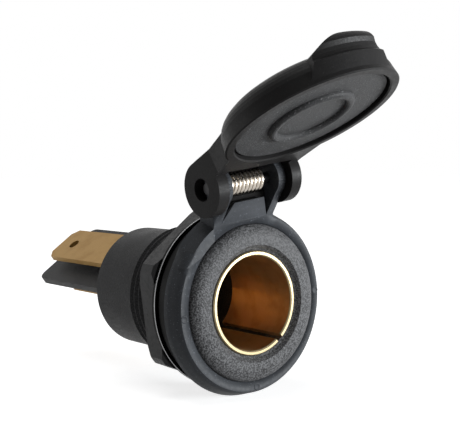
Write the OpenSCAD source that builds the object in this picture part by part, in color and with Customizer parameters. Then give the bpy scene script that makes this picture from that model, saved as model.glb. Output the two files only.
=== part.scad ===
// Panel socket for a 12 mm plug, with a sprung hinged lid, a clamp nut and two flat blades.
// The bore runs along Y. The panel seat is at Y = 0, the mouth faces -Y and the hinge is at +Z.

/* [Contact sleeve] */
// Inner diameter of the brass sleeve that takes the plug
sleeve_id = 12; // [11.6:0.1:12.4]
// Sheet thickness of the brass sleeve
sleeve_wall = 0.6; // [0.4:0.1:0.7]
// Length of the rolled part of the sleeve
sleeve_len = 12; // [10:0.5:14]
// Depth of the sleeve's rim behind the front of the bezel
sleeve_inset = 0.45; // [0.2:0.05:0.8]
// Width of the slit along the sleeve
slit_w = 0.9; // [0.4:0.1:1.4]
// Angle of the slit, from +X towards +Z
slit_angle = -58; // [-80:1:-40]
// Length of the flat riveting tab behind the sleeve
tab_len = 3.7; // [3.4:0.1:4.4]
// Width of the flat riveting tab
tab_w = 3; // [2.4:0.1:3.2]
// Radius of the rivet's shank
rivet_r = 0.8; // [0.6:0.05:0.9]

/* [Socket body] */
// Diameter of the round bezel in front of the lid ring
bezel_od = 19.9; // [18.8:0.1:20.6]
// Thickness of the bezel from front to back
bezel_t = 1.3; // [1.1:0.05:1.7]
// Reach of the rounded bezel edge across its face
bezel_round = 1.8; // [1:0.1:2.2]
// Width of the step between the mouth's edge and the sleeve
mouth_step = 0.45; // [0.2:0.05:0.7]
// Outer diameter of the body's thread
thread_od = 17.9; // [17.6:0.1:18.4]
// Distance between two thread crests
thread_pitch = 1; // [0.75:0.25:1.25]
// End of the thread behind the panel seat
thread_end = 9.6; // [8.5:0.1:12]
// Step from the thread's crests down to the plain barrel
barrel_step = 0.7; // [0.6:0.05:0.9]
// Length of the barrel behind the panel seat
barrel_len = 18.9; // [18:0.1:21]
// Wall of the barrel round the carrier
pocket_wall = 0.75; // [0.6:0.05:0.8]

/* [Lid ring] */
// Width of the lid ring's face outside the bezel
ring_lip = 1.5; // [1.2:0.05:2]
// Growth of the lid ring's radius from front to back
ring_flare = 0.6; // [0.2:0.05:0.8]
// Thickness of the lid ring
ring_t = 2.55; // [2.2:0.05:3.2]
// Depth to which the bezel sinks into the lid ring
ring_seat = 0.35; // [0.2:0.05:0.6]
// Thickness of the rubber gasket behind the lid ring
gasket_t = 2.7; // [2:0.1:3]
// Width of the gasket's ring
gasket_w = 2.05; // [1.6:0.05:2.4]

/* [Hinge] */
// Height of the hinge axis above the bore axis
hinge_z = 15.35; // [15.2:0.05:16.2]
// Distance of the hinge axis in front of the lid ring
hinge_reach = 0.75; // [0.6:0.05:1.2]
// Distance between the inner faces of the two ears
ear_gap = 7.3; // [6.8:0.1:8]
// Thickness of one ear of the lid ring
ear_t = 1.15; // [0.9:0.05:1.4]
// Radius of the round end of an ear
ear_r = 2.4; // [2:0.05:2.5]
// Radius of the round boss on each ear that the lid turns on
boss_r = 1.35; // [1.1:0.05:1.6]
// Depth of the boss's end inside the lid arm
boss_sink = 0.7; // [0.3:0.05:1]
// Width of the wall between the ears at its top
wall_top_w = 4.6; // [3:0.1:6]
// Thickness of one arm of the lid
arm_t = 1.55; // [1.2:0.05:1.9]
// Radius of the round end of a lid arm
knuckle_r = 3.4; // [3:0.05:3.5]
// Radius of the steel pin
pin_r = 0.7; // [0.5:0.05:0.75]
// Angle between the closed lid and the open lid
open_angle = 118; // [90:1:125]

/* [Lid spring] */
// Diameter of the spring wire
wire_d = 0.62; // [0.45:0.01:0.66]
// Inner radius of the spring's turns
coil_inner_r = 0.85; // [0.8:0.01:0.9]
// Number of turns of the spring
coil_turns = 9; // [6:1:9]
// Distance between two turns
coil_pitch = 0.69; // [0.67:0.01:0.72]
// Reach of the spring's leg under the lid, from the hinge axis
leg_reach = 5.2; // [4.8:0.1:5.6]

/* [Lid] */
// Difference between the bezel's radius and the radius of the lid's recess
lid_inside = 0.5; // [0.4:0.05:0.6]
// Width of the lid's rim
rim_w = 1.1; // [0.9:0.05:1.4]
// Offset of the lid's middle from the bore axis, towards the hinge
lid_shift = 0.3; // [0:0.05:0.3]
// Height of the lid above its rim
lid_h = 4; // [3.8:0.1:4.6]
// Reach of the rounded upper edge across the lid's top
dome_round = 3.2; // [2:0.05:3.6]
// Height of the rounded upper edge of the lid
dome_drop = 2.8; // [2:0.1:3]
// Height of the neck between lid and hinge above the rim
neck_h = 3.1; // [2.4:0.05:3.2]
// Height of the thumb tab above the lid's rim
thumb_h = 5.05; // [4.8:0.05:5.6]
// Width of the thumb tab at its foot
thumb_w = 9.4; // [8:0.1:11]
// Distance by which the thumb tab stands past the rim
thumb_reach = 0.4; // [0.2:0.05:1]
// Turn of the thumb tab about the lid's middle
thumb_turn = 7; // [0:1:12]
// Height of the thumb tab's foot, below the hollow for the thumb
thumb_foot = 2.2; // [1.6:0.05:2.4]
// Thickness of the rubber pad in the lid
seal_t = 1.2; // [0.8:0.1:1.6]
// Depth of the pad's face behind the rim
seal_depth = 0.5; // [0.4:0.05:0.7]
// Inner radius of the raised ring on the pad
seal_ring_in = 4.15; // [3.5:0.05:4.4]
// Outer radius of the raised ring on the pad
seal_ring_out = 5.3; // [4.8:0.05:5.6]
// Height of the raised ring on the pad
seal_ring_h = 0.55; // [0.3:0.05:0.6]

/* [Nut and washer] */
// Thickness of the nut's wall at the middle of a flat
nut_wall = 1.65; // [1.4:0.05:3]
// Thickness of the nut
nut_t = 3.1; // [2.5:0.1:4]
// Width of the washer's ring
washer_w = 2.4; // [1.8:0.1:3]
// Thickness of the washer
washer_t = 0.5; // [0.3:0.05:1]

/* [Terminals] */
// Width of the flat blades
blade_w = 6.3; // [4.8:0.1:6.5]
// Thickness of the flat blades
blade_t = 0.8; // [0.5:0.1:0.8]
// Length of the blades behind the barrel
blade_out = 17.2; // [10:0.1:18]
// Radius of the hole near the end of each blade
blade_hole_r = 0.85; // [0.5:0.05:1.2]
// Distance of the hole from the end of the blade
blade_hole_in = 3.7; // [2.6:0.1:4.5]
// Size of the cut corners at the end of a blade
blade_corner = 1.1; // [0.5:0.1:1.6]
// Distance of the outer blade's middle from the bore axis
blade_off = 6; // [5.8:0.05:6.1]
// Angle of the blades about the bore, from +X towards +Z
blade_angle = 28; // [0:1:60]
// Width of the wall between the two blades
wall_w = 12; // [9:0.1:12.1]
// Thickness of the wall between the two blades
wall_t = 1; // [0.7:0.1:1]
// Distance of the wall's middle from the bore axis
wall_off = 3.8; // [2.6:0.1:3.8]
// Length of the wall past the blades
wall_extra = 1; // [0.5:0.1:4]
// Thickness of the moulded carrier behind the bore
carrier_t = 4; // [3:0.1:4.5]
// Inner radius of the centre contact
centre_r = 2.5; // [2:0.1:2.6]
// Length of the centre contact
centre_len = 5; // [4:0.1:5]

/* [Hidden] */
$fn = 96;

// Clearances
thread_clear = 0.05;
fit_clear = 0.03;
turn_clear = 0.05;
slot_clear = 0.08;
side_clear = 0.2;
lid_clear = 0.3;

// Edge breaks, and the sink of one form into another
fine_edge = 0.15;
edge = 0.3;
bold_edge = 0.4;
sink = 0.1;
past = 1;

// Stations along the bore
ring_back_y = -gasket_t;
ring_front_y = ring_back_y - ring_t;
bezel_back_y = ring_front_y + ring_seat;
bezel_front_y = bezel_back_y - bezel_t;
sleeve_front_y = bezel_front_y + sleeve_inset;
sleeve_back_y = sleeve_front_y + sleeve_len;
tab_back_y = sleeve_back_y + tab_len;
jog_len = 1.5;
carrier_front_y = tab_back_y + jog_len;
carrier_back_y = carrier_front_y + carrier_t;
blade_shoulder_y = carrier_front_y + bold_edge;
blade_end_y = barrel_len + blade_out;
rivet_in = 2.2;
rivet_y = sleeve_back_y + rivet_in;
nut_back_y = washer_t + nut_t;

// Radii of the body and of what sits on its thread
sleeve_r = sleeve_id / 2;
sleeve_out_r = sleeve_r + sleeve_wall;
bore_r = sleeve_out_r + fit_clear;
mouth_r = bore_r + mouth_step;
bezel_r = bezel_od / 2;
seat_r = bezel_r + slot_clear;
thread_r = thread_od / 2;
thread_depth = 0.6 * thread_pitch;
root_r = thread_r - thread_depth;
collar_r = thread_r + thread_clear;
barrel_r = thread_r - barrel_step;
pocket_r = barrel_r - pocket_wall;
ring_front_r = bezel_r + ring_lip;
ring_back_r = ring_front_r + ring_flare;
gasket_r = thread_r + gasket_w;
washer_r = thread_r + washer_w;
nut_corner_r = (thread_r + nut_wall) * 2 / sqrt(3);

// Terminals, measured from the bore axis
tab_out = sqrt(pow(sleeve_out_r - thread_clear, 2) - pow(tab_w / 2, 2));
strip_off = tab_out - sleeve_wall - blade_t / 2;
rivet_head_r = 1.35;
rivet_head_h = 0.5;
centre_wall = 0.5;
centre_out_r = centre_r + centre_wall;
centre_flare = 0.25;
centre_slit = 0.6;
centre_base_t = 0.6;
stake_w = 2.2;
wall_corner = 1.5;

// Hinge
hinge_y = ring_front_y - hinge_reach;
ear_in = ear_gap / 2;
ear_out = ear_in + ear_t;
arm_in = ear_out + side_clear;
arm_out = arm_in + arm_t;
knuckle_bore_r = boss_r + turn_clear;
block_top = hinge_z - knuckle_r - lid_clear;
block_rise = 1.2;
block_left = 5.9;
flank_turn = 148;
block_foot = thread_r;
ear_foot_drop = 1.1;
ear_foot_z = block_top - ear_foot_drop;
wall_drop = 2.2;
wall_top_z = hinge_z - wall_drop;
wall_lean = 1.5;
wall_foot_t = 1.2;
wall_tip_t = 1;

// Lid
rim_gap = 0.1;
rim_y = bezel_front_y + rim_gap;
recess_r = bezel_r - lid_inside;
rim_r = recess_r + rim_w;
recess_depth = seal_depth + seal_t;
neck_end_z = lid_shift + rim_r + bold_edge;
flare_x = 7.5;
flare_z = 6.1;
neck_foot_z = 12.6;
thumb_r = rim_r + thumb_reach;
thumb_round = 1.4;
thumb_hollow = 0.35;
thumb_draft = 0.4;
thumb_root = 3.5;
thumb_crest = 9;
crown_r = 10;
crown_off = 1.5;

// Spring
wire_r = wire_d / 2;
coil_r = coil_inner_r + wire_r;
coil_start = -ear_in + wire_r + sink;
coil_end = coil_start + coil_turns * coil_pitch;
coil_steps = 14;
wire_sides = 8;
lay_clear = 0.03;

// Turns a shape so that its Z axis lies along Y
module along_y() {
    rotate([-90, 0, 0]) children();
}

// Solid of revolution about the bore: each point is [radius, Y]
module turned(points) {
    along_y() rotate_extrude() polygon(points);
}

// Round disc about the bore, between two stations
module disc(r, y0, y1) {
    turned([[0, y0], [r, y0], [r, y1], [0, y1]]);
}

// Plate with an outline in X and Z, between two stations along the bore
module plate(y0, y1) {
    translate([0, y1, 0]) rotate([90, 0, 0]) linear_extrude(y1 - y0) children();
}

// Plate with an outline in Y and Z, between two stations along X
module side_plate(x0, x1) {
    translate([x0, 0, 0]) rotate([90, 0, 90]) linear_extrude(x1 - x0) children();
}

// The same shape on the right and, mirrored, on the left
module both_sides() {
    children();
    mirror([1, 0, 0]) children();
}

// Rod along X about the hinge axis
module hinge_rod(r, x0, x1) {
    translate([x0, hinge_y, hinge_z]) rotate([0, 90, 0]) cylinder(r = r, h = x1 - x0);
}

// Points of an arc about a centre
function arc(c, rx, ry, a0, a1, n = 8) =
    [for (i = [0:n]) let (a = a0 + (a1 - a0) * i / n) c + [rx * cos(a), ry * sin(a)]];

// Moves the closed lid to its open place
module opened() {
    translate([0, hinge_y, hinge_z]) rotate([-open_angle, 0, 0])
        translate([0, -hinge_y, -hinge_z]) children();
}

// Turns parts that follow the blades
module blade_frame() {
    rotate([0, -blade_angle, 0]) children();
}

// Body: bezel, threaded barrel, bore and the pocket for the carrier
module socket_body() {
    crest_w = 0.1 * thread_pitch;
    first_crest = bezel_back_y + 3 * thread_pitch;
    crests = floor((thread_end - first_crest) / thread_pitch);
    start = thread_end - crests * thread_pitch;
    round_h = bezel_t - fine_edge;
    outline = concat(
        [[mouth_r + edge, bezel_front_y]],
        arc([bezel_r - bezel_round, bezel_front_y + round_h], bezel_round, round_h, -90, 0, 9),
        [[bezel_r, bezel_back_y], [thread_r, bezel_back_y], [thread_r, start - edge]],
        [for (i = [0:crests - 1]) for (p = [[root_r, 0], [thread_r, 0.5], [thread_r, 0.6]])
            [p[0], start + (i + p[1]) * thread_pitch]],
        [
            [root_r, thread_end], [barrel_r, thread_end + edge], [barrel_r, barrel_len - bold_edge],
            [barrel_r - bold_edge, barrel_len], [pocket_r, barrel_len], [pocket_r, carrier_front_y],
            [bore_r, carrier_front_y], [bore_r, sleeve_front_y + edge],
            [mouth_r - fine_edge, sleeve_front_y + sink], [mouth_r, sleeve_front_y - sink]
        ]
    );
    color([0.09, 0.09, 0.09]) turned(outline);
}

// Rolled brass sleeve with its slit and its flat riveting tab
module contact_sleeve() {
    color([0.83, 0.66, 0.34]) difference() {
        union() {
            turned([
                [sleeve_r + fine_edge, sleeve_front_y], [sleeve_out_r - fine_edge, sleeve_front_y],
                [sleeve_out_r, sleeve_front_y + fine_edge], [sleeve_out_r, sleeve_back_y],
                [sleeve_r, sleeve_back_y], [sleeve_r, sleeve_front_y + fine_edge]
            ]);
            blade_frame() translate([-tab_w / 2, sleeve_back_y - edge, tab_out - sleeve_wall])
                cube([tab_w, tab_len + edge, sleeve_wall]);
        }
        rotate([0, -slit_angle, 0]) translate([0, sleeve_front_y - past, -slit_w / 2])
            cube([sleeve_out_r + past, sleeve_len + 2 * past, slit_w]);
        disc(sleeve_r, sleeve_front_y - past, sleeve_back_y);
        rivet_hole();
    }
}

// Hole for the rivet, across the tab and the strip under it
module rivet_hole() {
    blade_frame() translate([0, rivet_y, strip_off - blade_t])
        cylinder(r = rivet_r + fit_clear, h = tab_out);
}

// Rivet with a domed head inside the bore
module sleeve_rivet() {
    head_z = strip_off - blade_t / 2;
    color([0.8, 0.62, 0.32]) blade_frame() translate([0, rivet_y, head_z]) rotate_extrude() polygon(concat(
        [[0, tab_out - head_z], [0, -rivet_head_h]],
        arc([0, 0], rivet_head_r, rivet_head_h, -80, 0, 5),
        [[rivet_r, 0], [rivet_r, tab_out - head_z]]
    ));
}

// Outline of a blade with cut corners and a hole near its end
module blade_plan(y_front, front_w) {
    w = blade_w / 2;
    difference() {
        polygon([
            [-front_w / 2, y_front], [front_w / 2, y_front], [front_w / 2, blade_shoulder_y],
            [w, blade_shoulder_y], [w, blade_end_y - blade_corner], [w - blade_corner, blade_end_y],
            [blade_corner - w, blade_end_y], [-w, blade_end_y - blade_corner],
            [-w, blade_shoulder_y], [-front_w / 2, blade_shoulder_y]
        ]);
        translate([0, blade_end_y - blade_hole_in]) circle(r = blade_hole_r);
    }
}

// Blade of the sleeve: riveted under its tab and stepped outwards to the carrier's slot
module sleeve_terminal() {
    half_t = blade_t / 2;
    front_y = sleeve_back_y + bold_edge;
    jog_y = tab_back_y + sink;
    color([0.72, 0.6, 0.38]) difference() {
        blade_frame() intersection() {
            linear_extrude(blade_off + blade_t) blade_plan(front_y, tab_w);
            side_plate(-blade_w, blade_w) polygon([
                [front_y, strip_off - half_t], [jog_y, strip_off - half_t],
                [carrier_front_y, blade_off - half_t], [blade_end_y, blade_off - half_t],
                [blade_end_y, blade_off + half_t], [carrier_front_y, blade_off + half_t],
                [jog_y, strip_off + half_t], [front_y, strip_off + half_t]
            ]);
        }
        rivet_hole();
    }
}

// Blade of the centre contact, staked through its base
module centre_terminal() {
    color([0.72, 0.6, 0.38]) blade_frame() translate([0, 0, -blade_t / 2]) linear_extrude(blade_t)
        blade_plan(carrier_front_y - centre_base_t - bold_edge, stake_w);
}

// Centre contact: a slit cup on the carrier
module centre_contact() {
    y0 = carrier_front_y - centre_len;
    y1 = carrier_front_y;
    slit_len = centre_len - centre_base_t + past / 2;
    slot_t = blade_t / 2 + fit_clear;
    slot_w = stake_w / 2 + fit_clear;
    color([0.83, 0.66, 0.34]) difference() {
        turned([
            [0, y1 - centre_base_t], [centre_r, y1 - centre_base_t], [centre_r, y0 + edge],
            [centre_r + centre_flare, y0], [centre_out_r, y0], [centre_out_r, y1], [0, y1]
        ]);
        blade_frame() for (a = [45, 135]) rotate([0, a, 0])
            translate([-centre_out_r - past, y0 - past, -centre_slit / 2])
                cube([2 * (centre_out_r + past), slit_len, centre_slit]);
        blade_frame() translate([-slot_w, y0, -slot_t]) cube([2 * slot_w, centre_len + past, 2 * slot_t]);
    }
}

// Slot for a blade through the carrier, with a narrow mouth at the front
module blade_slot(z, front_w) {
    w = blade_w / 2 + slot_clear;
    f = front_w / 2 + slot_clear;
    t = blade_t / 2 + slot_clear;
    y = blade_shoulder_y - slot_clear;
    blade_frame() translate([0, 0, z - t]) linear_extrude(2 * t) polygon([
        [-f, carrier_front_y - past], [f, carrier_front_y - past], [f, y], [w, y],
        [w, carrier_back_y + past], [-w, carrier_back_y + past], [-w, y], [-f, y]
    ]);
}

// Moulded carrier that holds both blades apart, with the wall between them
module terminal_carrier() {
    wall_end_y = blade_end_y + wall_extra;
    x = wall_w / 2 - wall_corner;
    y = wall_end_y - wall_corner;
    color([0.1, 0.1, 0.1]) difference() {
        union() {
            disc(pocket_r - fit_clear, carrier_front_y, carrier_back_y);
            blade_frame() translate([0, 0, wall_off - wall_t / 2]) linear_extrude(wall_t) polygon(concat(
                [[-wall_w / 2, carrier_back_y - past], [wall_w / 2, carrier_back_y - past]],
                arc([x, y], wall_corner, wall_corner, 0, 90, 6),
                arc([-x, y], wall_corner, wall_corner, 90, 180, 6)
            ));
        }
        blade_slot(blade_off, tab_w);
        blade_slot(0, stake_w);
    }
}

// Side outline of an ear: a leaning web up to the round end
module ear_outline() {
    lean = 0.39;
    polygon([
        [ring_front_y, ear_foot_z], [hinge_y - sqrt(1 - lean * lean) * ear_r, hinge_z - lean * ear_r],
        [hinge_y + ear_r - sink, hinge_z - lean * ear_r], [ring_back_y, block_top],
        [ring_back_y, block_foot], [ring_front_y, block_foot]
    ]);
    translate([hinge_y, hinge_z]) circle(r = ear_r);
}

// Leaning wall between the ears, narrower at its top, that the spring's foot rests on
module spring_wall() {
    intersection() {
        side_plate(-ear_in - sink, ear_in + sink) polygon([
            [ring_front_y, ear_foot_z], [ring_front_y - wall_lean, wall_top_z],
            [ring_front_y - wall_lean + wall_tip_t, wall_top_z], [ring_front_y + wall_foot_t, ear_foot_z]
        ]);
        plate(ring_front_y - wall_lean - past, ring_back_y) polygon([
            [-ear_in - sink, ear_foot_z - sink], [ear_in + sink, ear_foot_z - sink],
            [wall_top_w / 2, wall_top_z + sink], [-wall_top_w / 2, wall_top_z + sink]
        ]);
    }
}

// Block under the left arm of the lid, with a flank that runs into the ring
module ring_block() {
    flank_r = ring_back_r - edge;
    intersection() {
        side_plate(-ring_back_r, ear_out) polygon([
            [ring_front_y, 0], [ring_front_y, block_top], [ring_back_y, block_top + block_rise],
            [ring_back_y, 0]
        ]);
        plate(ring_front_y, ring_back_y) polygon([
            [ear_out, block_foot], [ear_out, hinge_z], [-block_left, hinge_z],
            [-block_left, block_top + block_rise], flank_r * [cos(flank_turn), sin(flank_turn)]
        ]);
    }
}

// Ring with the two ears, clamped between the bezel and the gasket
module lid_ring() {
    color([0.12, 0.12, 0.12]) difference() {
        union() {
            turned([
                [block_foot, ring_front_y], [ring_front_r - edge, ring_front_y],
                [ring_front_r, ring_front_y + edge], [ring_back_r, ring_back_y - edge],
                [ring_back_r - edge, ring_back_y], [block_foot, ring_back_y]
            ]);
            ring_block();
            both_sides() side_plate(ear_in, ear_out) ear_outline();
            both_sides() hinge_rod(boss_r, ear_out - sink, arm_out - boss_sink);
            spring_wall();
        }
        disc(seat_r, ring_front_y - sink, bezel_back_y);
        disc(collar_r, ring_front_y - past, ring_back_y + past);
        hinge_rod(pin_r + fit_clear, -arm_out, arm_out);
    }
}

// Steel pin through both ears and the spring
module hinge_pin() {
    half = arm_out - boss_sink - sink;
    color([0.35, 0.35, 0.36]) hinge_rod(pin_r, -half, half);
}

// Point at a distance from the hinge axis, at an angle from +Y towards +Z
function hinge_point(x, r, a) = [x, hinge_y + r * cos(a), hinge_z + r * sin(a)];

// Point under the open lid: reach from the axis along the lid, and drop from it
function lid_point(x, reach, drop) = [
    x,
    hinge_y - reach * sin(open_angle) + drop * cos(open_angle),
    hinge_z - reach * cos(open_angle) - drop * sin(open_angle)
];

// Path of the spring wire: foot on the ring's wall, turns, leg under the lid
function spring_path() = let (
    foot_y = ring_front_y - wall_lean + wall_tip_t / 2,
    foot_z = wall_top_z + wire_r + lay_clear,
    first = 190,
    last = -open_angle,
    sweep = 360 * (coil_turns - 1) + first - last,
    steps = round(sweep / 360 * coil_steps),
    lie = rim_y - hinge_y + wire_r + lay_clear
) concat(
    [
        [wall_top_w / 2 - past, foot_y, foot_z], [0, foot_y, foot_z],
        [coil_start + past, foot_y, foot_z], [coil_start, foot_y - bold_edge, foot_z + edge]
    ],
    [for (i = [0:steps]) hinge_point(
        coil_start + (coil_end - coil_start) * i / steps, coil_r, first - sweep * i / steps)],
    [lid_point(coil_end, 0.3 * leg_reach, coil_r), lid_point(coil_end, 0.8 * leg_reach, lie + sink),
     lid_point(coil_end, leg_reach, lie)]
);

// Wire swept along a path
module wire(path, d) {
    last = len(path) - 1;
    function unit(v) = v / norm(v);
    function tangent(i) = unit(path[min(i + 1, last)] - path[max(i - 1, 0)]);
    function side(i) = unit(cross(tangent(i), [0.3, 0.2, 0.93]));
    function above(i) = cross(side(i), tangent(i));
    points = [
        for (i = [0:last]) for (k = [0:wire_sides - 1]) let (a = 360 * k / wire_sides)
            path[i] + d / 2 * (cos(a) * side(i) + sin(a) * above(i))
    ];
    faces = concat(
        [[for (k = [0:wire_sides - 1]) k]],
        [for (i = [0:last - 1]) for (k = [0:wire_sides - 1]) let (a = i * wire_sides, b = a + wire_sides)
            [a + k, b + k, b + (k + 1) % wire_sides, a + (k + 1) % wire_sides]],
        [[for (k = [wire_sides - 1:-1:0]) last * wire_sides + k]]
    );
    polyhedron(points, faces);
}

// Torsion spring round the pin
module lid_spring() {
    color([0.78, 0.78, 0.76]) wire(spring_path(), wire_d);
}

// Round part of the lid
module lid_dome() {
    top = rim_y - lid_h;
    shoulder = top + dome_drop;
    turned(concat(
        [[0, rim_y], [rim_r - fine_edge, rim_y], [rim_r, rim_y - fine_edge]],
        arc([rim_r - dome_round - fine_edge, shoulder], dome_round, -dome_drop, 0, 80, 8),
        [[0, top]]
    ));
}

// Thumb tab: a crowned bump on the lid's edge with a hollow face for the thumb
module thumb_tab() {
    top = rim_y - thumb_h;
    foot = rim_y - thumb_foot;
    face_h = thumb_h - thumb_foot;
    round_h = thumb_round - fine_edge;
    foot_half = thumb_w / 2 + thumb_draft * thumb_foot;
    top_half = thumb_w / 2 - thumb_draft * face_h;
    rotate([0, thumb_turn, 0]) intersection() {
        turned(concat(
            [[0, rim_y - edge], [rim_r - fine_edge, rim_y - edge], [thumb_r, foot]],
            [for (p = [[0.85, 0.12], [1, 0.25], [0.75, 0.4]])
                [thumb_r - thumb_hollow * p[0], foot - face_h * p[1]]],
            arc([thumb_r - thumb_round, top + round_h], thumb_round, -round_h, 0, 90, 6),
            [[0, top]]
        ));
        side_plate(-foot_half, foot_half) polygon([
            [rim_y - edge, 0], [rim_y - lid_h + edge, -thumb_root], [top + edge, -0.85 * thumb_crest],
            [top, -thumb_crest], [top, -thumb_r - past], [rim_y - edge, -thumb_r - past]
        ]);
        translate([0, top, -thumb_r - past]) linear_extrude(thumb_r + past) intersection() {
            translate([crown_off, crown_r]) circle(r = crown_r);
            polygon([[-foot_half, thumb_h], [foot_half, thumb_h], [top_half, 0], [-top_half, 0]]);
        }
    }
}

// Neck of the lid: flares from the arms to the round part
module lid_neck() {
    plate(rim_y - neck_h, rim_y) polygon([
        [flare_x, flare_z], [arm_out, neck_end_z], [arm_out, neck_foot_z], [arm_in, neck_foot_z],
        [arm_in, neck_end_z], [-arm_in, neck_end_z], [-arm_in, neck_foot_z], [-arm_out, neck_foot_z],
        [-arm_out, neck_end_z], [-flare_x, flare_z]
    ]);
    both_sides() side_plate(arm_in, arm_out) polygon([
        [rim_y, neck_end_z - past], [rim_y, hinge_z], [hinge_y - knuckle_r + fit_clear, hinge_z + edge],
        [hinge_y - knuckle_r + fit_clear, hinge_z - past], [rim_y - neck_h, neck_end_z - past]
    ]);
    both_sides() hinge_rod(knuckle_r, arm_in, arm_out);
}

// Lid with its two arms, as it lies when closed
module lid_closed() {
    difference() {
        union() {
            translate([0, 0, lid_shift]) {
                lid_dome();
                thumb_tab();
            }
            lid_neck();
        }
        translate([0, 0, lid_shift]) turned([
            [0, rim_y - recess_depth], [recess_r, rim_y - recess_depth], [recess_r, rim_y - fine_edge],
            [recess_r + fine_edge, rim_y], [recess_r + fine_edge, rim_y + past], [0, rim_y + past]
        ]);
        hinge_rod(knuckle_bore_r, -arm_out - past, arm_out + past);
    }
}

// Lid in its open place
module lid() {
    color([0.11, 0.11, 0.11]) opened() lid_closed();
}

// Rubber pad with its raised ring
module lid_seal() {
    pad_r = recess_r - fine_edge;
    face_y = rim_y - seal_depth;
    back_y = face_y - seal_t;
    ring_mid = (seal_ring_in + seal_ring_out) / 2;
    ring_half = (seal_ring_out - seal_ring_in) / 2;
    color([0.16, 0.16, 0.16]) opened() translate([0, 0, lid_shift]) turned(concat(
        [[0, back_y], [pad_r, back_y], [pad_r, face_y - fine_edge], [pad_r - fine_edge, face_y]],
        arc([ring_mid, face_y], ring_half, seal_ring_h, 0, 180, 8),
        [[0, face_y]]
    ));
}

// Rubber gasket between the lid ring and the panel
module gasket() {
    color([0.07, 0.07, 0.07]) turned([
        [collar_r, ring_back_y], [gasket_r - edge, ring_back_y], [gasket_r, ring_back_y + bold_edge],
        [gasket_r, -bold_edge], [gasket_r - edge, 0], [collar_r, 0]
    ]);
}

// Thin washer between the panel and the nut
module washer() {
    color([0.2, 0.2, 0.2]) turned([
        [collar_r, 0], [washer_r, 0], [washer_r, washer_t], [collar_r, washer_t]
    ]);
}

// Hexagon nut with rounded corners and chamfered ends
module nut() {
    r_round = nut_corner_r - edge;
    color([0.1, 0.1, 0.1]) difference() {
        intersection() {
            plate(washer_t, nut_back_y) rotate(30) circle(r = nut_corner_r, $fn = 6);
            turned([
                [0, washer_t], [r_round - bold_edge, washer_t], [r_round, washer_t + edge],
                [r_round, nut_back_y - bold_edge], [r_round - 2 * edge, nut_back_y], [0, nut_back_y]
            ]);
        }
        disc(collar_r, washer_t - past, nut_back_y + past);
        turned([
            [0, nut_back_y - bold_edge], [collar_r, nut_back_y - bold_edge],
            [collar_r + bold_edge + sink, nut_back_y + sink], [0, nut_back_y + sink]
        ]);
    }
}

socket_body();
contact_sleeve();
sleeve_terminal();
sleeve_rivet();
centre_contact();
centre_terminal();
terminal_carrier();
lid_ring();
hinge_pin();
lid_spring();
lid();
lid_seal();
gasket();
washer();
nut();
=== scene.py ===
# A panel socket for a 12 mm plug, its lid held open, on a white studio ground.
# Everything is in metres unless a note says millimetres, and the bore runs along Y, its mouth towards -Y.
import math

import bmesh
import bpy
from mathutils import Matrix, Vector


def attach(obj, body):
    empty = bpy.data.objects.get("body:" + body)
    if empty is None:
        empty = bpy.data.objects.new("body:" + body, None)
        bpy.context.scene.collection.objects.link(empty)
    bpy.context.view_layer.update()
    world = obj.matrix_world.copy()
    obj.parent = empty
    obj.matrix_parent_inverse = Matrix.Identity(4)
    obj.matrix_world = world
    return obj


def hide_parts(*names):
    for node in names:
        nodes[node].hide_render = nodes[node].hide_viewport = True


mm = 0.001
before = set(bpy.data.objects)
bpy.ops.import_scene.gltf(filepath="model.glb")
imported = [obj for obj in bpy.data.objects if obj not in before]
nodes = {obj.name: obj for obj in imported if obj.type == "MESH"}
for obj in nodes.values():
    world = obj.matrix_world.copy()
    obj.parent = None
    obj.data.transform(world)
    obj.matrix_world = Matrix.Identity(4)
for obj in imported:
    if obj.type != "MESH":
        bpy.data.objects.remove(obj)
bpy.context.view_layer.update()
scene = bpy.context.scene
scene.view_settings.view_transform = "Standard"
print("stage 1: frame loaded,", len(nodes), "parts")


class Wire:
    # a node's output that can stand in a sum or a product
    def __init__(self, shade, socket):
        self.shade = shade
        self.socket = socket

    def maths(self, operation, first, second):
        return self.shade.node("ShaderNodeMath", {"operation": operation}, {0: first, 1: second})

    def __add__(self, other):
        return self.maths("ADD", self, other)

    __radd__ = __add__

    def __mul__(self, other):
        return self.maths("MULTIPLY", self, other)

    __rmul__ = __mul__


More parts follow.
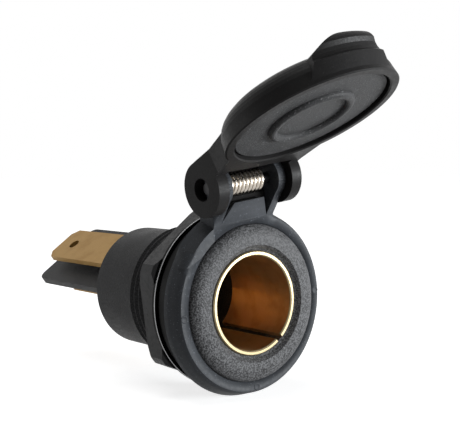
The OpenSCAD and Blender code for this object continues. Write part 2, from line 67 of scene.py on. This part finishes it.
class Shade:
    # one material and the nodes in it
    def __init__(self, name, **constants):
        self.material = bpy.data.materials.new(name)
        self.material.use_nodes = True
        self.tree = self.material.node_tree
        self.shader = self.tree.nodes["Principled BSDF"]
        self.place = self.node("ShaderNodeTexCoord", out="Object")
        for socketName, value in constants.items():
            self.shader.inputs[socketName.replace("_", " ")].default_value = value

    def node(self, kind, settings=None, sockets=None, out=0):
        made = self.tree.nodes.new(kind)
        for key, value in (settings or {}).items():
            setattr(made, key, value)
        for key, value in (sockets or {}).items():
            self.join(value, made.inputs[key])
        return Wire(self, made.outputs[out])

    def join(self, value, socket):
        if isinstance(value, Wire):
            self.tree.links.new(value.socket, socket)
        elif isinstance(value, tuple) and socket.type == "RGBA":
            socket.default_value = (*value, 1)
        else:
            socket.default_value = value

    def noise(self, size, detail=3, rough=0.55, stretch=None):
        # cloudy pattern whose spots are about size metres wide
        place = self.place
        if stretch:
            place = self.node("ShaderNodeVectorMath", {"operation": "MULTIPLY"}, {0: place, 1: stretch})
        return self.node("ShaderNodeTexNoise", {}, {
            "Vector": place, "Scale": 1 / size, "Detail": detail, "Roughness": rough})

    def alongBore(self):
        return self.node("ShaderNodeSeparateXYZ", {}, {0: self.place}, out="Y")

    def between(self, value, low, high, toLow=0.0, toHigh=1.0):
        # smooth step from one value to another
        return self.node("ShaderNodeMapRange", {"interpolation_type": "SMOOTHSTEP"}, {
            "Value": value, "From Min": low, "From Max": high, "To Min": toLow, "To Max": toHigh})

    def mix(self, first, second, factor):
        return self.node("ShaderNodeMix", {"data_type": "RGBA"}, {0: factor, 6: first, 7: second}, out=2)

    def set(self, socketName, wire):
        self.join(wire, self.shader.inputs[socketName])

    def bump(self, height, distance):
        self.set("Normal", self.node("ShaderNodeBump", {}, {
            "Height": height, "Distance": distance, "Strength": 1.0}))


view = {
    "azimuth": -38.9,    # degrees round the socket from straight in front
    "elevation": 3.5,    # degrees above the bore
    "turn": -8.0,        # turn of the socket about its bore on the ground
    "pixels": 1000,      # focal length, in pixels of a picture as wide as the next value
    "width": 460,
    "pixelsPerMm": 8,    # at the sleeve's rim
    "rimAhead": 5.75,    # mm from the panel seat forward to that rim
    "aside": 3.19,       # mm from the middle of the picture
    "below": -10.04,
    "sensor": 36,
    "clip": (0.01, 10),
}


def rowVector(v, turn):
    # from the studio's upright frame to the socket's own
    return Vector((math.cos(turn) * v[0] - math.sin(turn) * v[2], v[1],
                   math.sin(turn) * v[0] + math.cos(turn) * v[2]))


def makeCamera(p):
    azimuth, elevation = math.radians(p["azimuth"]), math.radians(p["elevation"])
    turn = math.radians(p["turn"])
    back = Vector((math.sin(azimuth) * math.cos(elevation),
                   -math.cos(azimuth) * math.cos(elevation), math.sin(elevation)))
    right = Vector((math.cos(azimuth), math.sin(azimuth), 0))
    up = back.cross(right)
    reach = p["pixels"] / p["pixelsPerMm"]
    centre = back * reach - right * p["aside"] - up * p["below"]
    place = rowVector(centre, turn) - Vector((0, p["rimAhead"], 0))
    axes = [rowVector(v, turn) for v in (right, up, back)]
    data = bpy.data.cameras.new("camera")
    data.lens = p["pixels"] * p["sensor"] / p["width"]
    data.sensor_width = p["sensor"]
    data.clip_start, data.clip_end = p["clip"]
    camera = bpy.data.objects.new("camera", data)
    scene.collection.objects.link(camera)
    camera.matrix_world = Matrix.Translation(place * mm) @ Matrix(axes).transposed().to_4x4()
    scene.camera = camera
    return axes


camRight, camUp, camBack = makeCamera(view)
groundUp = rowVector((0, 0, 1), math.radians(view["turn"]))
print("stage 2: camera set")


# each lamp: place as (right, up, towards the camera), size, watts, colour
light = {
    "air": 0.015,        # strength of the world's own light on the socket
    "aimUp": 4 * mm,
    "lamps": {
        "side": [(0.33, 0.013, 0.08), (0.24, 0.05), 2.4, (0.95, 0.98, 1)],
        "top": [(-0.06, 0.34, 0.06), (0.22, 0.22), 0.35, (1, 1, 1)],
        "backTop": [(-0.10, 0.20, -0.34), (0.40, 0.22), 0.06, (1, 0.97, 0.94)],
        "left": [(-0.34, 0.04, -0.04), (0.07, 0.30), 0.16, (1, 1, 1)],
    },
}


def areaLamp(name, place, size, power, colour):
    aim = Vector((0, 0, light["aimUp"]))
    data = bpy.data.lights.new(name, "AREA")
    data.shape = "RECTANGLE"
    data.size, data.size_y = size
    data.energy = power
    data.color = colour
    lamp = bpy.data.objects.new(name, data)
    lamp.location = aim + camRight * place[0] + camUp * place[1] + camBack * place[2]
    lamp.rotation_euler = (aim - lamp.location).to_track_quat("-Z", "Y").to_euler()
    scene.collection.objects.link(lamp)


def seenStraight(tree):
    # 1 where the camera sees it, or sees it in a mirror or through glass
    path = tree.nodes.new("ShaderNodeLightPath")
    seen = path.outputs["Is Camera Ray"]
    for other in ("Is Glossy Ray", "Is Transmission Ray"):
        both = tree.nodes.new("ShaderNodeMath")
        both.operation = "MAXIMUM"
        tree.links.new(seen, both.inputs[0])
        tree.links.new(path.outputs[other], both.inputs[1])
        seen = both.outputs[0]
    return seen


def whiteWorld():
    world = bpy.data.worlds.new("air")
    world.use_nodes = True
    scene.world = world
    tree = world.node_tree
    background = tree.nodes["Background"]
    mixed = tree.nodes.new("ShaderNodeMix")
    mixed.inputs[2].default_value = light["air"]
    mixed.inputs[3].default_value = 1.0
    tree.links.new(seenStraight(tree), mixed.inputs[0])
    tree.links.new(mixed.outputs[0], background.inputs["Strength"])
    background.inputs["Color"].default_value = (1, 1, 1, 1)


# veil: glow near the socket, where shadows show, for the rays of seenStraight; beyond the reach it is full
ground = {"half": 1.5, "colour": 0.8, "rough": 0.9, "veil": 0.78, "reachFrom": 0.03, "reachTo": 0.07}


def makeGround(p):
    low = min(v.co.dot(groundUp) for n in nodes.values() for v in n.data.vertices)
    side = groundUp.cross(Vector((0, 1, 0))).normalized()
    along = groundUp.cross(side)
    mesh = bpy.data.meshes.new("ground")
    mesh.from_pydata([groundUp * low + (side * a + along * b) * p["half"]
                      for a, b in ((-1, -1), (1, -1), (1, 1), (-1, 1))], [], [(0, 1, 2, 3)])
    thing = bpy.data.objects.new("ground", mesh)
    scene.collection.objects.link(thing)
    paint = Shade("groundWhite", Roughness=p["rough"], Specular_IOR_Level=0)
    paint.set("Base Color", (p["colour"],) * 3)
    seen = Wire(paint, seenStraight(paint.tree))
    away = paint.node("ShaderNodeVectorMath", {"operation": "LENGTH"}, {0: paint.place}, out="Value")
    far = paint.between(away, p["reachFrom"], p["reachTo"], p["veil"], 1.0)
    glow = paint.node("ShaderNodeEmission", {}, {"Color": (1, 1, 1), "Strength": seen * far})
    both = paint.node("ShaderNodeAddShader", {}, {0: Wire(paint, paint.shader.outputs[0]), 1: glow})
    paint.join(both, paint.tree.nodes["Material Output"].inputs["Surface"])
    mesh.materials.append(paint.material)


whiteWorld()
makeGround(ground)
for lampName, (place, size, power, colour) in light["lamps"].items():
    areaLamp(lampName, place, size, power, colour)
print("stage 3: ground and lamps set")


# what all plastics share: sizes of their patterns, and where each pattern starts and ends
moulded = {
    "cloud": 4 * mm, "cloudDetail": 4, "cloudShare": 0.25, "cloudFrom": 0.3, "cloudTo": 0.7,
    "grainDetail": 2, "grainRough": 0.6, "toneFrom": 0.42, "toneTo": 0.6, "fleckFrom": 0.35, "fleckTo": 0.65,
    "speck": 0.2 * mm, "speckDetail": 2, "speckRough": 0.7, "speckFrom": 0.63, "speckTo": 0.72,
    # the last three: where the body's painted sheen and specks fade from its front towards the back, and the
    # share of them left behind
    "smoother": 0.04, "rougher": 0.05, "frontEnd": -4 * mm, "backStart": -2 * mm, "backShare": 0.3,
}


def plastic(name, colour, pale, rough, grain, grainDepth, dust, shine, fleck=0.1, tone=0.0, frontOnly=False):
    # moulded plastic: fine grain in colour, gloss and height, and a few pale specks. On the body's bezel and
    # on the ring, the paler colour is also painted sheen: a lighter base colour stands in for gloss
    p = moulded
    shade = Shade(name, Specular_IOR_Level=shine)
    cloud = shade.noise(p["cloud"], p["cloudDetail"])
    fine = shade.noise(grain, p["grainDetail"], p["grainRough"])
    specks = shade.between(shade.noise(p["speck"], p["speckDetail"], p["speckRough"]),
                           p["speckFrom"], p["speckTo"])
    # the pale mix: random cloud, real dust specks and grain tone, and on the bezel and ring also painted
    # sheen
    specksAndSheen = (p["cloudShare"] * cloud + dust * specks
                + tone * shade.between(fine, p["toneFrom"], p["toneTo"]))
    # painted sheen and specks: full at the front of the body, fading to a share of them behind
    if frontOnly:
        specksAndSheen = specksAndSheen * shade.between(shade.alongBore(), p["frontEnd"], p["backStart"],
                                            1.0, p["backShare"])
    shade.set("Base Color", shade.mix(colour, pale, specksAndSheen))
    uneven = shade.between(fine, p["fleckFrom"], p["fleckTo"], -fleck, fleck)
    shade.set("Roughness", shade.between(cloud, p["cloudFrom"], p["cloudTo"],
                                         rough - p["smoother"], rough + p["rougher"]) + uneven)
    shade.bump(fine, grainDepth)
    return shade.material


rolled = {
    "cloud": 2.5 * mm, "cloudDetail": 4, "stainFrom": 0.4, "stainTo": 0.75, "stainTint": 0.6,
    "stainDull": 0.06, "line": 0.5 * mm, "lineDetail": 3, "lineRough": 0.6, "lineTint": 0.3,
    "lineDull": 0.10,
}


def brass(name, colour, deep, rough, turned, depth, metal, rim=None):
    # rolled brass, its lines drawn out by turned; rim is another colour in front of a place along the bore
    p = rolled
    shade = Shade(name, Metallic=metal)
    cloud = shade.noise(p["cloud"], p["cloudDetail"])
    lines = shade.noise(p["line"], p["lineDetail"], p["lineRough"], turned)
    stain = shade.between(cloud, p["stainFrom"], p["stainTo"])
    tint = shade.mix(colour, deep, p["stainTint"] * stain + p["lineTint"] * lines)
    if rim:
        tint = shade.mix(rim["colour"], tint,
                         shade.between(shade.alongBore(), rim["back"], rim["back"] + rim["soft"]))
    shade.set("Base Color", tint)
    shade.set("Roughness", rough + p["lineDull"] * lines + p["stainDull"] * stain)
    shade.bump(lines, depth)
    return shade.material


drawn = {"cloud": 1.2 * mm, "cloudDull": 0.15, "scratch": 0.1 * mm, "scratchDepth": 0.003 * mm}


def steel(name, colour, deep, rough):
    p = drawn
    shade = Shade(name, Metallic=1.0)
    cloud = shade.noise(p["cloud"])
    shade.set("Base Color", shade.mix(colour, deep, cloud))
    shade.set("Roughness", rough + p["cloudDull"] * cloud)
    shade.bump(shade.noise(p["scratch"]), p["scratchDepth"])
    return shade.material


plastics = {
    # its pale colour is raised as painted sheen on the bezel's front face, on top of the real grain and
    # specks
    "bodyBlack": {
        "colour": (0.005, 0.005, 0.0053), "pale": (0.17, 0.17, 0.175), "rough": 0.5, "grain": 0.19 * mm,
        "grainDepth": 0.06 * mm, "dust": 0.5, "shine": 0.11, "fleck": 0.12, "tone": 0.5, "frontOnly": True,
    },
    # its bluish pale colour is partly painted sheen, standing in for the bluish side lamp on the ring's face,
    # and partly specks
    "satinBlack": {
        "colour": (0.006, 0.0065, 0.0075), "pale": (0.17, 0.185, 0.21), "rough": 0.56, "grain": 0.4 * mm,
        "grainDepth": 0.012 * mm, "dust": 0.5, "shine": 0.16, "fleck": 0.04,
    },
    "lidBlack": {
        "colour": (0.007, 0.0068, 0.0068), "pale": (0.028, 0.026, 0.026), "rough": 0.42, "grain": 0.25 * mm,
        "grainDepth": 0.012 * mm, "dust": 0.5, "shine": 0.07, "fleck": 0.05,
    },
    "nutBlack": {
        "colour": (0.014, 0.014, 0.0145), "pale": (0.05, 0.05, 0.052), "rough": 0.4, "grain": 0.4 * mm,
        "grainDepth": 0.006 * mm, "dust": 0.2, "shine": 0.14,
    },
    "padRubber": {
        "colour": (0.006, 0.006, 0.0063), "pale": (0.20, 0.20, 0.203), "rough": 0.5, "grain": 0.2 * mm,
        "grainDepth": 0.05 * mm, "dust": 1.3, "shine": 0.07, "fleck": 0.12, "tone": 0.05,
    },
    "gasketRubber": {
        "colour": (0.002, 0.002, 0.002), "pale": (0.006, 0.006, 0.006), "rough": 0.3, "grain": 0.4 * mm,
        "grainDepth": 0.003 * mm, "dust": 0.2, "shine": 0.05, "fleck": 0,
    },
}
brasses = {
    "sleeveBrass": {
        "colour": (0.70, 0.46, 0.23), "deep": (0.50, 0.29, 0.13), "rough": 0.28, "turned": (0.4, 6, 0.4),
        "depth": 0.006 * mm, "metal": 0.85,
        "rim": {"colour": (0.28, 0.225, 0.13), "back": -5.6 * mm, "soft": 0.2 * mm},
    },
    "bladeBrass": {
        "colour": (0.38, 0.225, 0.06), "deep": (0.29, 0.16, 0.04), "rough": 0.5, "turned": (6, 0.4, 6),
        "depth": 0.01 * mm, "metal": 0.55,
    },
}
steels = {
    # grey metal on the washer's edge bead: a painted highlight along the black washer's rim
    "lipGlint": {"colour": (0.30, 0.30, 0.31), "deep": (0.2, 0.2, 0.2), "rough": 0.16},
    "springSteel": {"colour": (0.64, 0.60, 0.55), "deep": (0.32, 0.27, 0.21), "rough": 0.2},
    # the hinge pin's steel darkened to nearly black: painted shade inside the knuckle's hole
    "pinPaintedShade": {"colour": (0.05, 0.05, 0.052), "deep": (0.03, 0.03, 0.03), "rough": 0.35},
}
finishes = {}
for make, looks in ((plastic, plastics), (brass, brasses), (steel, steels)):
    for name, look in looks.items():
        finishes[name] = make(name, **look)
finishOf = {
    "socket_body": "bodyBlack", "terminal_carrier": "bodyBlack", "contact_sleeve": "sleeveBrass",
    "sleeve_rivet": "sleeveBrass", "centre_contact": "sleeveBrass", "sleeve_terminal": "bladeBrass",
    "centre_terminal": "bladeBrass", "lid_ring": "satinBlack", "lid": "lidBlack", "hinge_pin": "pinPaintedShade",
    "lid_spring": "springSteel", "lid_seal": "padRubber", "gasket": "gasketRubber", "washer": "gasketRubber",
    "nut": "nutBlack",
}
for name, part in nodes.items():
    part.data.materials.clear()
    part.data.materials.append(finishes[finishOf[name]])
print("stage 4: finishes given")


creaseDegrees = 32


def piece(name, mesh, finish, body, stands=()):
    # a piece of the scene's own: smooth where its faces meet softly, in place of the parts in stands
    mesh.shade_smooth()
    mesh.set_sharp_from_angle(angle=math.radians(creaseDegrees))
    mesh.materials.append(finishes[finish])
    thing = bpy.data.objects.new(name, mesh)
    scene.collection.objects.link(thing)
    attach(thing, body)
    if stands:
        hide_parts(*stands)


def meshFrom(bm, name):
    bmesh.ops.recalc_face_normals(bm, faces=bm.faces)
    mesh = bpy.data.meshes.new(name)
    bm.to_mesh(mesh)
    bm.free()
    return mesh


def bridge(bm, one, two):
    # four-sided faces from one ring of corners to the next
    count = len(one)
    for k in range(count):
        bm.faces.new((one[k], one[(k + 1) % count], two[(k + 1) % count], two[k]))


def roundAngles(count):
    return [2 * math.pi * k / count for k in range(count)]


# the spring, in millimetres and degrees: its foot stands on the ring's block behind the wall,
# and its leg runs from the left end of the coil into the end of the lid's neck
spring = {
    "wire": 0.27, "coil": 1.16, "footX": 2.25, "legX": -3.25, "start": 10, "sweep": 3292, "stepsPerTurn": 40,
    "hingeY": -6.0, "hingeZ": 15.35, "footZ": 13.7, "footBend": 0.1, "lidOpen": 118, "leg": 4.3,
    "sides": 16, "tip": 0.5, "firstAcross": (0.3, 0.2, 0.93),   # any direction but the wire's own
}


def tube(name, path, p):
    # round wire along a path of points in millimetres, with blunt tips
    radius, sides = p["wire"], p["sides"]
    bm = bmesh.new()
    rings = []
    across = Vector(p["firstAcross"])
    for i, point in enumerate(path):
        ahead = (path[min(i + 1, len(path) - 1)] - path[max(i - 1, 0)]).normalized()
        side = ahead.cross(across).normalized()
        across = side.cross(ahead)
        rings.append([bm.verts.new((point + radius * (math.cos(t) * side + math.sin(t) * across)) * mm)
                      for t in roundAngles(sides)])
    for one, two in zip(rings, rings[1:]):
        bridge(bm, one, two)
    for ring, ahead in ((rings[0], path[0] - path[1]), (rings[-1], path[-1] - path[-2])):
        middle = sum((v.co for v in ring), Vector()) / sides
        tip = bm.verts.new(middle + ahead.normalized() * radius * p["tip"] * mm)
        for k in range(sides):
            bm.faces.new((ring[k], ring[(k + 1) % sides], tip))
    return meshFrom(bm, name)


def makeSpring(p):
    steps = int(p["sweep"] / 360 * p["stepsPerTurn"])
    coil = []
    for i in range(steps + 1):
        t = math.radians(p["start"] + p["sweep"] * i / steps)
        coil.append(Vector((p["footX"] + (p["legX"] - p["footX"]) * i / steps,
                            p["hingeY"] + p["coil"] * math.cos(t), p["hingeZ"] + p["coil"] * math.sin(t))))
    floor = Vector((coil[0].x, coil[0].y, p["footZ"]))
    foot = [floor, coil[0].lerp(floor, p["footBend"])]
    lean = math.radians(p["lidOpen"])
    along = Vector((0, -math.sin(lean), -math.cos(lean)))
    leg = [coil[-1], coil[-1] + along * 0.5 * p["leg"], coil[-1] + along * p["leg"]]
    for name, path, body in (("springCoil", foot + coil[1:], "socket"), ("springLeg", leg, "cover")):
        piece(name, tube(name, path, p), "springSteel", body, ["lid_spring"])


makeSpring(spring)

# saddles round the coil, in millimetres and degrees: each outline is an arc about the hinge's axis and a few
# corners (along, across) from it. At turn 0, along is +Y and across is +Z, and turn turns both about the axis
saddles = {
    "springBack": {
        "body": "socket", "half": 3.6, "turn": 0, "arc": [-15, -75],
        "corners": [(1.0, -3.3), (3.25, -3.3), (3.25, -0.75), (2.95, -0.44)],
    },
    "neckWeb": {
        "body": "cover", "half": 3.5, "turn": 152, "arc": [-120, -40],
        "corners": [(4.2, -1.1), (4.2, -2.95), (1.5, -2.95), (0.4, -2.5), (-0.5, -2.3), (-1.1, -1.9)],
    },
}
saddleArc = {"radius": 1.7, "steps": 12, "soft": 0.12, "softSteps": 3, "softShape": 0.5}


def makeSaddle(name, p):
    radius, steps = saddleArc["radius"], saddleArc["steps"]
    arc = [math.radians(p["arc"][0] + (p["arc"][1] - p["arc"][0]) * i / steps) for i in range(steps + 1)]
    outline = [(radius * math.cos(t), radius * math.sin(t)) for t in arc] + p["corners"]
    turn = math.radians(p["turn"])
    count = len(outline)
    bm = bmesh.new()
    verts = [bm.verts.new(Vector((x, spring["hingeY"] + along * math.cos(turn) - across * math.sin(turn),
                                  spring["hingeZ"] + along * math.sin(turn) + across * math.cos(turn))) * mm)
             for x in (-p["half"], p["half"]) for along, across in outline]
    ends = [bm.faces.new(verts[:count]), bm.faces.new(verts[count:])]
    bridge(bm, verts[:count], verts[count:])
    rims = {edge for face in ends for edge in face.edges}
    bmesh.ops.bevel(bm, geom=list(rims), offset=saddleArc["soft"] * mm, segments=saddleArc["softSteps"],
                    affect="EDGES", profile=saddleArc["softShape"])
    piece(name, meshFrom(bm, name), "lidBlack", p["body"])


for saddleName, saddle in saddles.items():
    makeSaddle(saddleName, saddle)

# the ring's block is cut flush with its left ear, so that the ring's flared side shows below it. The cutter
# follows that flare from a front to a back radius. Millimetres and degrees
ringStep = {
    "frontY": -4.95, "frontRadius": 11.45, "backY": -3.0, "backRadius": 12.05, "pastFront": 1.0,
    "pastBack": 0.5, "clear": 0.01, "ear": -4.81, "toDegrees": 158, "steps": 40, "outside": 20, "shelf": 8,
    "weld": 0.001,
}


def makeRing(p):
    bm = bmesh.new()
    bm.from_mesh(nodes["lid_ring"].data)
    bmesh.ops.remove_doubles(bm, verts=bm.verts, dist=p["weld"] * mm)
    mesh = bpy.data.meshes.new("hingeRing")
    bm.to_mesh(mesh)
    bm.free()
    whole = bpy.data.objects.new("whole", mesh)
    slope = (p["backRadius"] - p["frontRadius"]) / (p["backY"] - p["frontY"])
    corners = []
    for y in (p["frontY"] - p["pastFront"], p["backY"] + p["pastBack"]):
        radius = p["frontRadius"] + (y - p["frontY"]) * slope + p["clear"]
        first = math.acos(p["ear"] / radius)
        turns = [first + (math.radians(p["toDegrees"]) - first) * i / p["steps"]
                 for i in range(p["steps"] + 1)]
        outline = [(radius * math.cos(t), radius * math.sin(t)) for t in turns]
        outline += [(-p["outside"], p["shelf"]), (-p["outside"], p["outside"]), (p["ear"], p["outside"])]
        corners += [Vector((x, y, z)) * mm for x, z in outline]
    count = len(corners) // 2
    bm = bmesh.new()
    verts = [bm.verts.new(corner) for corner in corners]
    bm.faces.new(verts[:count])
    bm.faces.new(verts[:count - 1:-1])
    for k in range(count):
        bm.faces.new([verts[j] for j in (k, k + count, (k + 1) % count + count, (k + 1) % count)])
    cutter = bpy.data.objects.new("cutter", meshFrom(bm, "cutter"))
    for thing in (whole, cutter):
        scene.collection.objects.link(thing)
    cut = whole.modifiers.new("cut", "BOOLEAN")
    cut.operation = "DIFFERENCE"
    cut.solver = "EXACT"
    cut.object = cutter
    seen = whole.evaluated_get(bpy.context.evaluated_depsgraph_get())
    made = bpy.data.meshes.new_from_object(seen)
    for thing in (whole, cutter):
        bpy.data.objects.remove(thing)
    made.materials.clear()
    piece("hingeRing", made, "satinBlack", "socket", ["lid_ring"])


makeRing(ringStep)

# marks left by the ejector pins on the ring's face, in millimetres, at angles round the bore in degrees.
# Each mark is a ring as high as lip. How far its feet reach and how high its shoulders stand are in lips
ejector = {
    "angles": [177.7, -94.2, -3.8], "middle": 10.72, "radius": 0.40, "lip": 0.05, "foot": 2.2,
    "shoulder": 0.8, "inner": 0.004, "sunk": 0.01, "face": -5.25, "sides": 40,
}


def makeEjectorMarks(p):
    radius, lip = p["radius"], p["lip"]
    profile = [(radius - p["foot"] * lip, p["inner"]), (radius - lip, lip * p["shoulder"]), (radius, lip),
               (radius + lip, lip * p["shoulder"]), (radius + p["foot"] * lip, -p["sunk"])]
    for number, degrees in enumerate(p["angles"], 1):
        t = math.radians(degrees)
        centre = Vector((p["middle"] * math.cos(t), p["face"], p["middle"] * math.sin(t)))
        bm = bmesh.new()
        rings = [[bm.verts.new((centre + Vector((r * math.cos(a), -h, r * math.sin(a)))) * mm)
                  for a in roundAngles(p["sides"])] for r, h in profile]
        bm.faces.new(rings[0])
        for one, two in zip(rings, rings[1:]):
            bridge(bm, one, two)
        piece("ejectorMark" + str(number), meshFrom(bm, "ejectorMark"), "satinBlack", "socket")


makeEjectorMarks(ejector)

# thin grey metal bead round the washer's front edge, in millimetres: a painted highlight, so that the black
# washer's rim shows a bright line
washerGlintRim = {"radius": 11.3, "y": 0.03, "thick": 0.08, "steps": 180, "sides": 12}


def makeWasherGlint(p):
    bm = bmesh.new()
    rings = []
    for t in roundAngles(p["steps"]):
        out = Vector((math.cos(t), 0, math.sin(t)))
        rings.append([bm.verts.new((out * (p["radius"] + p["thick"] * math.cos(a))
                                    + Vector((0, p["y"] - p["thick"] * math.sin(a), 0))) * mm)
                      for a in roundAngles(p["sides"])])
    for one, two in zip(rings, rings[1:] + rings[:1]):
        bridge(bm, one, two)
    piece("washerLip", meshFrom(bm, "washerLip"), "lipGlint", "socket")


makeWasherGlint(washerGlintRim)
print("stage 5: spring, saddles, ring, marks and lip made")
